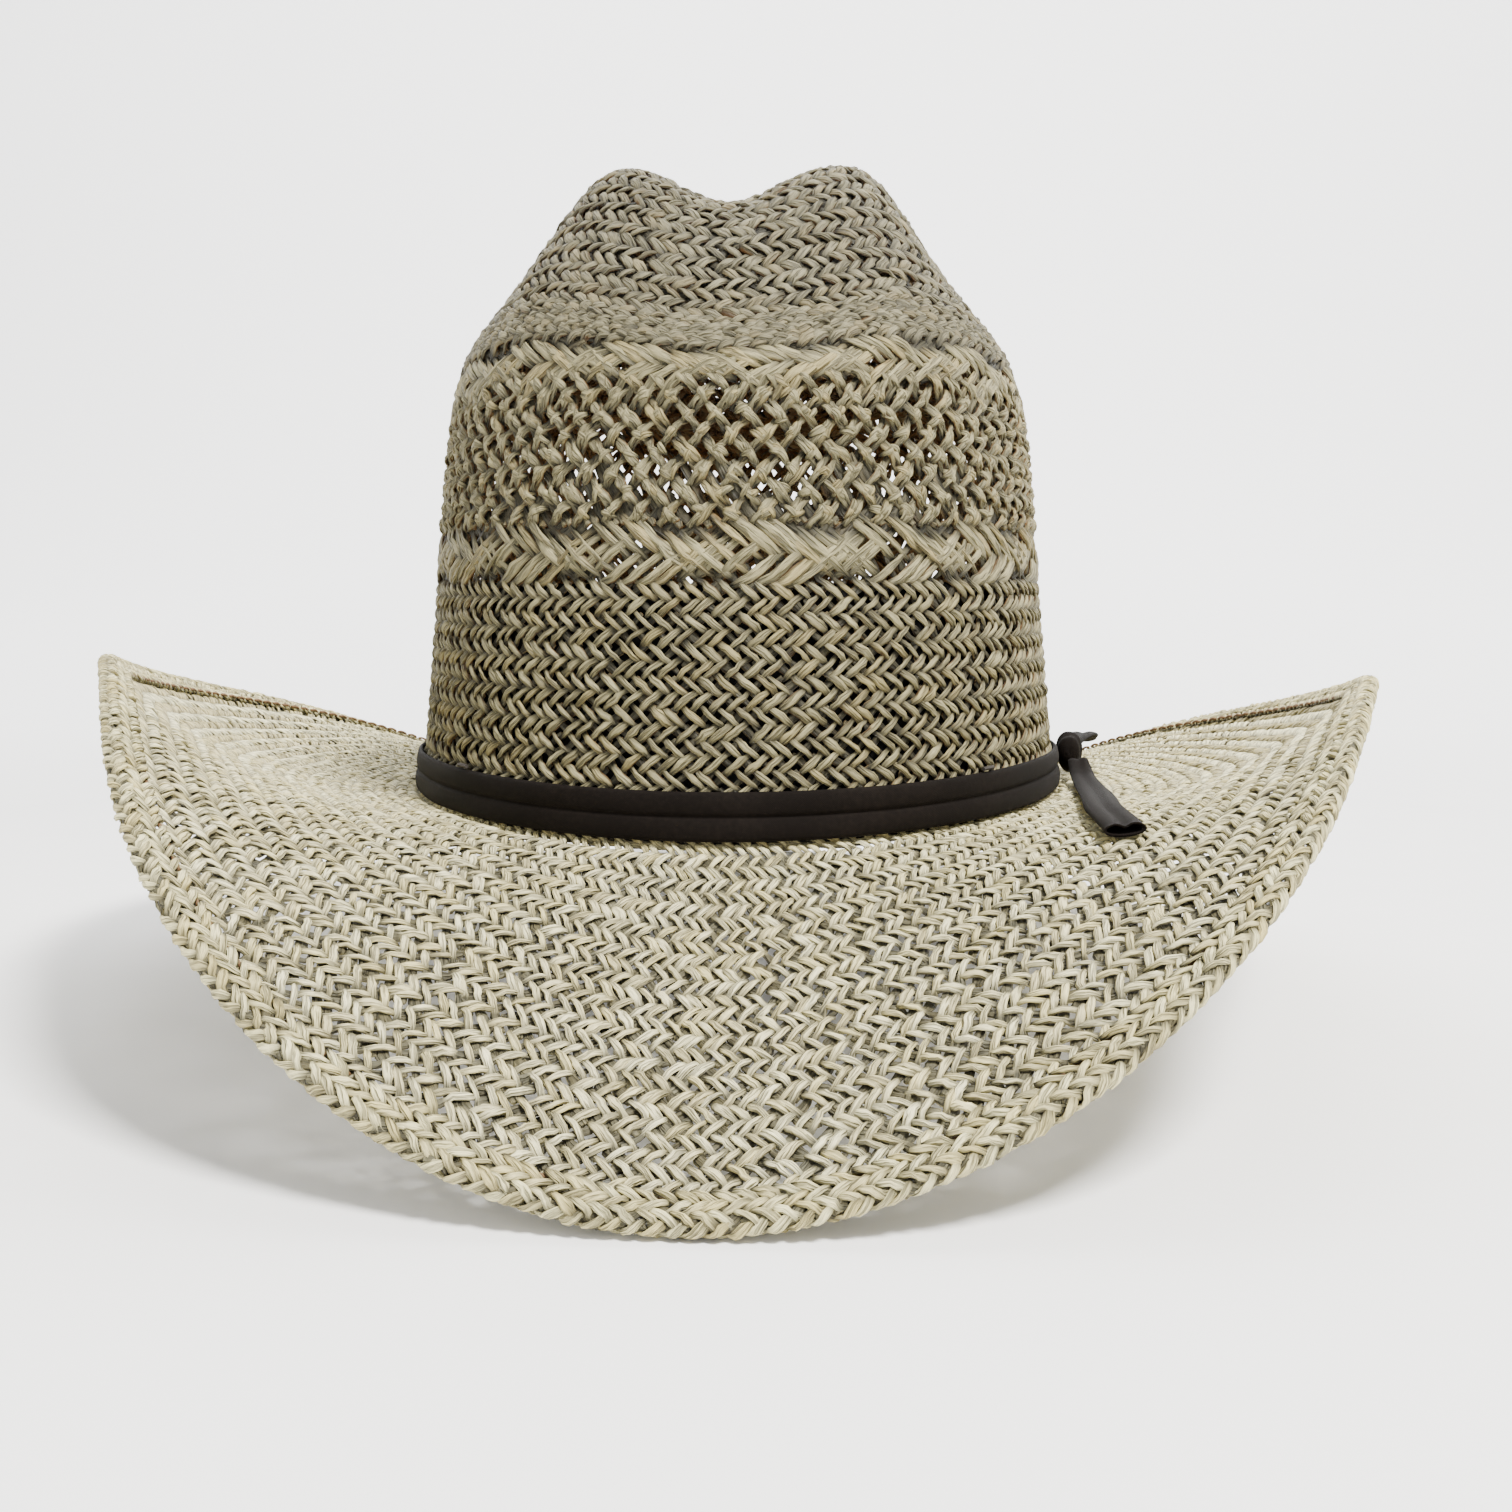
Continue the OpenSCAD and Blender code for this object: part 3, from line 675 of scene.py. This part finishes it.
# %% Helpers for node trees
def put(tree, kind, **inputs):
    """A new node with its inputs set or linked: a socket is linked, anything else is a value.
    Names that aren't inputs are the node's own settings."""
    node = tree.nodes.new(kind)
    for key, value in inputs.items():
        if hasattr(node, key) and not key[0].isupper():
            setattr(node, key, value)
    for key, value in inputs.items():
        if key[0].isupper() or key.startswith("_"):
            name = key.lstrip("_").replace("__", " ")
            socket = node.inputs[int(name)] if name.isdigit() else node.inputs[name]
            if isinstance(value, bpy.types.NodeSocket):
                tree.links.new(value, socket)
            else:
                socket.default_value = value
    return node


def maths(tree, operation, a, b=0.0, clamp=False):
    """One step of arithmetic on two numbers."""
    return put(tree, "ShaderNodeMath", operation=operation, use_clamp=clamp, _0=a, _1=b).outputs[0]


def blend(tree, share, a, b, mode="MIX"):
    """Two colours mixed by a share."""
    node = put(tree, "ShaderNodeMix", data_type="RGBA", blend_type=mode, _0=share, _6=a, _7=b)
    return node.outputs[2]


def group(name, takes, gives):
    """An empty node group with named inputs and outputs."""
    tree = bpy.data.node_groups.new(name, "ShaderNodeTree")
    for socket, kind, value in takes:
        made = tree.interface.new_socket(socket, in_out="INPUT", socket_type=kind)
        if value is not None:
            made.default_value = value
    for socket, kind in gives:
        tree.interface.new_socket(socket, in_out="OUTPUT", socket_type=kind)
    return tree, tree.nodes.new("NodeGroupInput"), tree.nodes.new("NodeGroupOutput")


COLOUR, NUMBER = "NodeSocketColor", "NodeSocketFloat"

# %% Straw: long fibres along each strand, every strand its own tone, and painted shade in creases, under crossing strands and on sides facing into the hat
straw_group, take, give = group(
    "straw_strand",
    [("Pale", COLOUR, None), ("Deep", COLOUR, None), ("Warm", COLOUR, None),
     ("Inner shade", COLOUR, None), ("Inner share", NUMBER, 0.5)],
    [("Colour", COLOUR), ("Roughness", NUMBER), ("Height", NUMBER)])
t = straw_group
along = put(t, "ShaderNodeUVMap", uv_map="strand").outputs[0]
tone = put(t, "ShaderNodeAttribute", attribute_name="tone").outputs["Fac"]
inside = put(t, "ShaderNodeAttribute", attribute_name="inside").outputs["Fac"]
FINE, FOLD = (0.35, 5.0, 1.0), (0.16, 1.6, 1.0)
fine_at = put(t, "ShaderNodeVectorMath", operation="MULTIPLY", _0=along, _1=FINE).outputs[0]
fine = put(t, "ShaderNodeTexNoise", Vector=fine_at, Scale=1.0, Detail=3.0, Roughness=0.6).outputs[0]
fold_at = put(t, "ShaderNodeVectorMath", operation="MULTIPLY", _0=along, _1=FOLD).outputs[0]
fold = put(t, "ShaderNodeTexNoise", Vector=fold_at, Scale=1.0, Detail=1.0).outputs[0]
place = put(t, "ShaderNodeTexCoord").outputs["Object"]
cloud = put(t, "ShaderNodeTexNoise", Vector=place, Scale=28.0, Detail=2.0).outputs[0]
shade = maths(t, "ADD", maths(t, "MULTIPLY", tone, 0.75), maths(t, "MULTIPLY", cloud, 0.3), True)
base = blend(t, shade, take.outputs["Pale"], take.outputs["Deep"])
chance = maths(t, "FRACT", maths(t, "MULTIPLY", tone, 37.0))
warm = maths(t, "MULTIPLY", maths(t, "GREATER_THAN", chance, 0.8), 0.55)
base = blend(t, warm, base, take.outputs["Warm"])
# painted shade: the fold noise darkens each strand along its creases; the same noise also lifts the
# bump
crease = put(t, "ShaderNodeMapRange", Value=fold, _1=0.36, _2=0.5).outputs[0]
streak = put(t, "ShaderNodeMapRange", Value=fine, _1=0.32, _2=0.6, _3=0.58, _4=1.08).outputs[0]
deep = put(t, "ShaderNodeAttribute", attribute_name="deep").outputs["Fac"]
# painted shade: strands are darkened where the deep attribute says they dip under the others
under = put(t, "ShaderNodeMapRange", Value=deep, _1=0.08, _2=0.8, _3=1.0, _4=0.14).outputs[0]
# fibre streaks as grain, times the painted crease shade and the painted gap shade
dark = maths(t, "MULTIPLY", streak, maths(t, "ADD", maths(t, "MULTIPLY", crease, 0.48), 0.54))
dark = maths(t, "MULTIPLY", dark, under)
grain_and_painted_shade = put(t, "ShaderNodeCombineColor", _0=dark, _1=dark, _2=dark).outputs[0]
lit = blend(t, 1.0, base, grain_and_painted_shade, "MULTIPLY")
# painted shade: the sides that face into the hat, and the brim's underside, are mixed towards the
# darker inner colour
inner = maths(t, "MULTIPLY", inside, take.outputs["Inner share"], True)
t.links.new(blend(t, inner, lit, take.outputs["Inner shade"]), give.inputs["Colour"])
t.links.new(maths(t, "ADD", maths(t, "MULTIPLY", fine, -0.25), 0.74), give.inputs["Roughness"])
t.links.new(maths(t, "ADD", maths(t, "MULTIPLY", fine, 0.4), crease), give.inputs["Height"])


def straw_material(name, pale, deep, warm, inner, inner_share):
    """A straw material: the shared fibres in this piece's own colours."""
    mat = bpy.data.materials.new(name)
    mat.use_nodes = True
    tree = mat.node_tree
    shader = tree.nodes["Principled BSDF"]
    fibres = tree.nodes.new("ShaderNodeGroup")
    fibres.node_tree = straw_group
    for key, value in (("Pale", pale), ("Deep", deep), ("Warm", warm), ("Inner shade", inner)):
        fibres.inputs[key].default_value = (*value, 1)
    fibres.inputs["Inner share"].default_value = inner_share
    bump = put(tree, "ShaderNodeBump", Strength=0.9, Distance=0.0009,
               Height=fibres.outputs["Height"])
    tree.links.new(fibres.outputs["Colour"], shader.inputs["Base Color"])
    tree.links.new(fibres.outputs["Roughness"], shader.inputs["Roughness"])
    tree.links.new(bump.outputs[0], shader.inputs["Normal"])
    shader.inputs["Specular IOR Level"].default_value = 0.35
    return mat


def wear(pieces, mat):
    """The material put on each piece."""
    for piece in pieces:
        piece.data.materials.clear()
        piece.data.materials.append(mat)


# Each straw gives pale, deep and warm tones, then a painted shade colour for the sides that face
# into the hat and the brim's underside, with its share
straw_crown = straw_material("straw_crown", (0.375, 0.335, 0.18), (0.235, 0.205, 0.105),
                             (0.34, 0.275, 0.115), (0.26, 0.1, 0.015), 0.9)
straw_bands = straw_material("straw_bands", (0.375, 0.335, 0.18), (0.245, 0.215, 0.11),
                             (0.35, 0.275, 0.11), (0.33, 0.13, 0.02), 0.9)
# painted shade: the shoulder and top get a darker copy of the crown's straw, taking back the light
# the lamps throw on them from above
straw_top_painted_shade = straw_material("straw_top_painted_shade", (0.24, 0.215, 0.125), (0.135, 0.12, 0.066),
                           (0.21, 0.17, 0.08), (0.26, 0.1, 0.015), 0.9)
straw_brim = straw_material("straw_brim", (0.97, 0.91, 0.56), (0.6, 0.52, 0.26),
                            (0.8, 0.69, 0.31), (0.5, 0.42, 0.25), 0.4)
straw_hem = straw_material("straw_hem", (0.92, 0.855, 0.48), (0.55, 0.47, 0.22),
                           (0.68, 0.56, 0.22), (0.5, 0.42, 0.25), 0.3)
wear(crown_pieces[:2], straw_crown)
wear(crown_pieces[2:5], straw_bands)
wear(crown_pieces[5:], straw_top_painted_shade)
wear(brim_pieces, straw_brim)
wear(hem_pieces, straw_hem)
print("straws:", [m.name for m in bpy.data.materials if m.name.startswith("straw")])

# %% Cloth: fine crossing threads in the piece's own flat directions, with a soft nap
cloth_group, take, give = group(
    "fine_cloth",
    [("Base", COLOUR, None), ("Dust", COLOUR, None), ("Threads", NUMBER, 2.2)],
    [("Colour", COLOUR), ("Roughness", NUMBER), ("Height", NUMBER)])
t = cloth_group
flat_at = put(t, "ShaderNodeUVMap", uv_map="strand").outputs[0]
scaled = put(t, "ShaderNodeVectorMath", operation="SCALE", _0=flat_at,
             Scale=take.outputs["Threads"]).outputs[0]
parts = put(t, "ShaderNodeSeparateXYZ", Vector=scaled)
warp = maths(t, "SINE", maths(t, "MULTIPLY", parts.outputs[0], TURN))
weft = maths(t, "SINE", maths(t, "MULTIPLY", parts.outputs[1], TURN))
over = maths(t, "ADD", maths(t, "MULTIPLY", maths(t, "MULTIPLY", warp, weft), 0.5), 0.5)
place = put(t, "ShaderNodeTexCoord").outputs["Object"]
lint = put(t, "ShaderNodeTexNoise", Vector=place, Scale=900.0, Detail=3.0).outputs[0]
worn = put(t, "ShaderNodeTexNoise", Vector=place, Scale=55.0, Detail=2.0).outputs[0]
patches = maths(t, "MULTIPLY", lint, worn)
dusty = put(t, "ShaderNodeMapRange", Value=patches, _1=0.2, _2=0.42).outputs[0]
share = maths(t, "ADD", maths(t, "MULTIPLY", dusty, 0.55), maths(t, "MULTIPLY", over, 0.3), True)
t.links.new(blend(t, share, take.outputs["Base"], take.outputs["Dust"]), give.inputs["Colour"])
t.links.new(maths(t, "ADD", maths(t, "MULTIPLY", over, -0.12), 0.78), give.inputs["Roughness"])
t.links.new(maths(t, "ADD", over, maths(t, "MULTIPLY", lint, 0.6)), give.inputs["Height"])


def cloth_material(name, base, dust, threads, strength=0.5, sheen=0.01):
    """A cloth in its own colours, with the shared threads."""
    mat = bpy.data.materials.new(name)
    mat.use_nodes = True
    tree = mat.node_tree
    shader = tree.nodes["Principled BSDF"]
    threads_in = tree.nodes.new("ShaderNodeGroup")
    threads_in.node_tree = cloth_group
    threads_in.inputs["Base"].default_value = (*base, 1)
    threads_in.inputs["Dust"].default_value = (*dust, 1)
    threads_in.inputs["Threads"].default_value = threads
    bump = put(tree, "ShaderNodeBump", Strength=strength, Distance=0.0002,
               Height=threads_in.outputs["Height"])
    tree.links.new(threads_in.outputs["Colour"], shader.inputs["Base Color"])
    tree.links.new(threads_in.outputs["Roughness"], shader.inputs["Roughness"])
    tree.links.new(bump.outputs[0], shader.inputs["Normal"])
    shader.inputs["Specular IOR Level"].default_value = 0.08
    shader.inputs["Sheen Weight"].default_value = sheen
    return mat


ribbon_cloth = cloth_material("ribbon_cloth", (0.0028, 0.0016, 0.001), (0.009, 0.0062, 0.0045), 2.4)
wear([ribbon, front_tail, rear_tail, knot], ribbon_cloth)
wear([sweatband],
     cloth_material("sweatband_cloth", (0.002, 0.002, 0.002), (0.007, 0.0065, 0.006), 1.3))
wear([bow], cloth_material("bow_cloth", (0.008, 0.007, 0.006), (0.02, 0.018, 0.016), 2.0))
wear([tab], cloth_material("tab_cloth", (0.7, 0.69, 0.65), (0.85, 0.84, 0.8), 3.0))
print("cloths:", [m.name for m in bpy.data.materials if m.name.endswith("cloth")])


# %% Thread, wire, sleeve and reed: small parts, each with a detail of its own
def small_material(name, one, two, scale, rough, metal, bump_by):
    """Two tones mixed by noise in the object's own space, with the same noise as bump."""
    mat = bpy.data.materials.new(name)
    mat.use_nodes = True
    tree = mat.node_tree
    shader = tree.nodes["Principled BSDF"]
    at = put(tree, "ShaderNodeTexCoord").outputs["Object"]
    noise = put(tree, "ShaderNodeTexNoise", Vector=at, Scale=scale, Detail=4.0,
                Roughness=0.6).outputs[0]
    tree.links.new(blend(tree, noise, (*one, 1), (*two, 1)), shader.inputs["Base Color"])
    uneven = maths(tree, "ADD", maths(tree, "MULTIPLY", noise, 0.25), rough)
    tree.links.new(uneven, shader.inputs["Roughness"])
    bump = put(tree, "ShaderNodeBump", Strength=bump_by, Distance=0.0002, Height=noise)
    tree.links.new(bump.outputs[0], shader.inputs["Normal"])
    shader.inputs["Metallic"].default_value = metal
    return mat


STEEL_GREY, PALE_GREY = (0.5, 0.49, 0.47), (0.62, 0.61, 0.6)
BRASS, PALE_BRASS = (0.62, 0.45, 0.2), (0.75, 0.56, 0.28)
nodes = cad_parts
small_parts = [
    ("brown_thread", [stitches, nodes["sweatband_stitching"]],
     (0.09, 0.045, 0.014), (0.17, 0.095, 0.035), 1500.0, 0.6, 0.0, 0.6),
    ("dark_thread", [nodes["ribbon_tacks"]],
     (0.01, 0.008, 0.006), (0.03, 0.022, 0.016), 1500.0, 0.6, 0.0, 0.6),
    ("wire_steel", [nodes["brim_wire"]], STEEL_GREY, PALE_GREY, 700.0, 0.25, 1.0, 0.2),
    ("sleeve_brass", [nodes["wire_sleeve"]], BRASS, PALE_BRASS, 700.0, 0.25, 1.0, 0.2),
    ("reed_plastic", [nodes["sweatband_reed"]],
     (0.012, 0.012, 0.012), (0.03, 0.03, 0.028), 400.0, 0.4, 0.0, 0.3)]
for name, pieces, *settings in small_parts:
    wear(pieces, small_material(name, *settings))
    print(f"{name}: worn by {len(pieces)} pieces")

# %% [markdown]
# ## Camera, floor and light
# The camera stands in front of the hat, a little above the brim, and looks slightly down. The
# floor runs up behind into a pale sweep, and large soft lights hang above and to the sides.

# %% Camera
YAW, PITCH, AWAY, ABOVE = math.radians(2.93), math.radians(5.2), 430.0, 50.0
cam = bpy.data.objects.new("camera", bpy.data.cameras.new("camera"))
bpy.context.scene.collection.objects.link(cam)
cam.data.sensor_width, cam.data.lens, cam.data.shift_x = 36, 36.43, 0.011
cam.data.clip_start, cam.data.clip_end = 0.01, 50
cam.location = (MIDDLE + np.array([AWAY * math.sin(YAW), -AWAY * math.cos(YAW), ABOVE])) * MM
cam.rotation_euler = (math.pi / 2 - PITCH, 0, YAW)
bpy.context.scene.camera = cam
print("camera at (m):", np.round(cam.location, 3))

# %% Floor: flat under the hat, then a quarter circle up into a wall
a = np.concatenate([[-1.0, 0.0], np.linspace(0, math.pi / 2, 24), [math.pi / 2]])
far = np.concatenate([[-3000, 900], 900 + 900 * np.sin(a[2:-1]), [1800]])
high = np.concatenate([[0, 0], 900 * (1 - np.cos(a[2:-1])), [5000]])
sides = np.array([-5000.0, 5000.0])
floor_points = stack(sides[None], far[:, None], high[:, None]).reshape(-1, 3)
floor_mesh = bpy.data.meshes.new("floor")
floor_mesh.from_pydata((floor_points * MM).tolist(), [], grid_faces(len(far), 2, False).tolist())
floor_mesh.polygons.foreach_set("use_smooth", np.ones(len(far) - 1, bool))
floor = bpy.data.objects.new("floor", floor_mesh)
bpy.context.scene.collection.objects.link(floor)
floor_mat = bpy.data.materials.new("floor")
floor_mat.use_nodes = True
t = floor_mat.node_tree
floor_at = put(t, "ShaderNodeTexCoord").outputs["Object"]
grain = put(t, "ShaderNodeTexNoise", Vector=floor_at, Scale=40.0, Detail=4.0).outputs[0]
paper = put(t, "ShaderNodeMapRange", Value=grain, _3=0.9, _4=0.93).outputs[0]
paper_rgb = put(t, "ShaderNodeCombineColor", _0=paper, _1=paper, _2=paper).outputs[0]
away = put(t, "ShaderNodeVectorMath", operation="LENGTH", _0=floor_at).outputs["Value"]
glow = put(t, "ShaderNodeMapRange", Value=away, _1=0.5, _2=1.5, _3=0.0, _4=1.1).outputs[0]
floor_shader = t.nodes["Principled BSDF"]
t.links.new(paper_rgb, floor_shader.inputs["Base Color"])
t.links.new(glow, floor_shader.inputs["Emission Strength"])
floor_shader.inputs["Roughness"].default_value = 0.9
floor_shader.inputs["Emission Color"].default_value = (1, 1, 1, 1)
floor.data.materials.append(floor_mat)
print("floor:", len(floor_points), "points")


# %% Lights
def soft_light(name, at, size, watts, tint=(1, 1, 1)):
    """A square lamp at a place in metres that looks at the hat."""
    lamp = bpy.data.lights.new(name, "AREA")
    lamp.size, lamp.energy, lamp.color = size, watts, tint
    light = bpy.data.objects.new(name, lamp)
    bpy.context.scene.collection.objects.link(light)
    light.location = at
    aim = np.array([0, 0, 0.08]) - np.array(at)
    light.rotation_euler = (math.atan2(math.hypot(aim[0], aim[1]), -aim[2]), 0,
                            math.atan2(aim[1], aim[0]) - math.pi / 2)


soft_light("key", (0.7, -0.75, 1.7), 0.45, 108, (1, 0.975, 0.93))
soft_light("fill", (-1.3, -1.0, 0.9), 1.2, 6, (0.96, 0.98, 1))
soft_light("behind", (0.0, 1.2, 1.7), 1.6, 30)
world = bpy.data.worlds.new("sky")
bpy.context.scene.world = world
world.use_nodes = True
world.node_tree.nodes["Background"].inputs["Color"].default_value = (1, 1, 1, 1)
world.node_tree.nodes["Background"].inputs["Strength"].default_value = 0.75
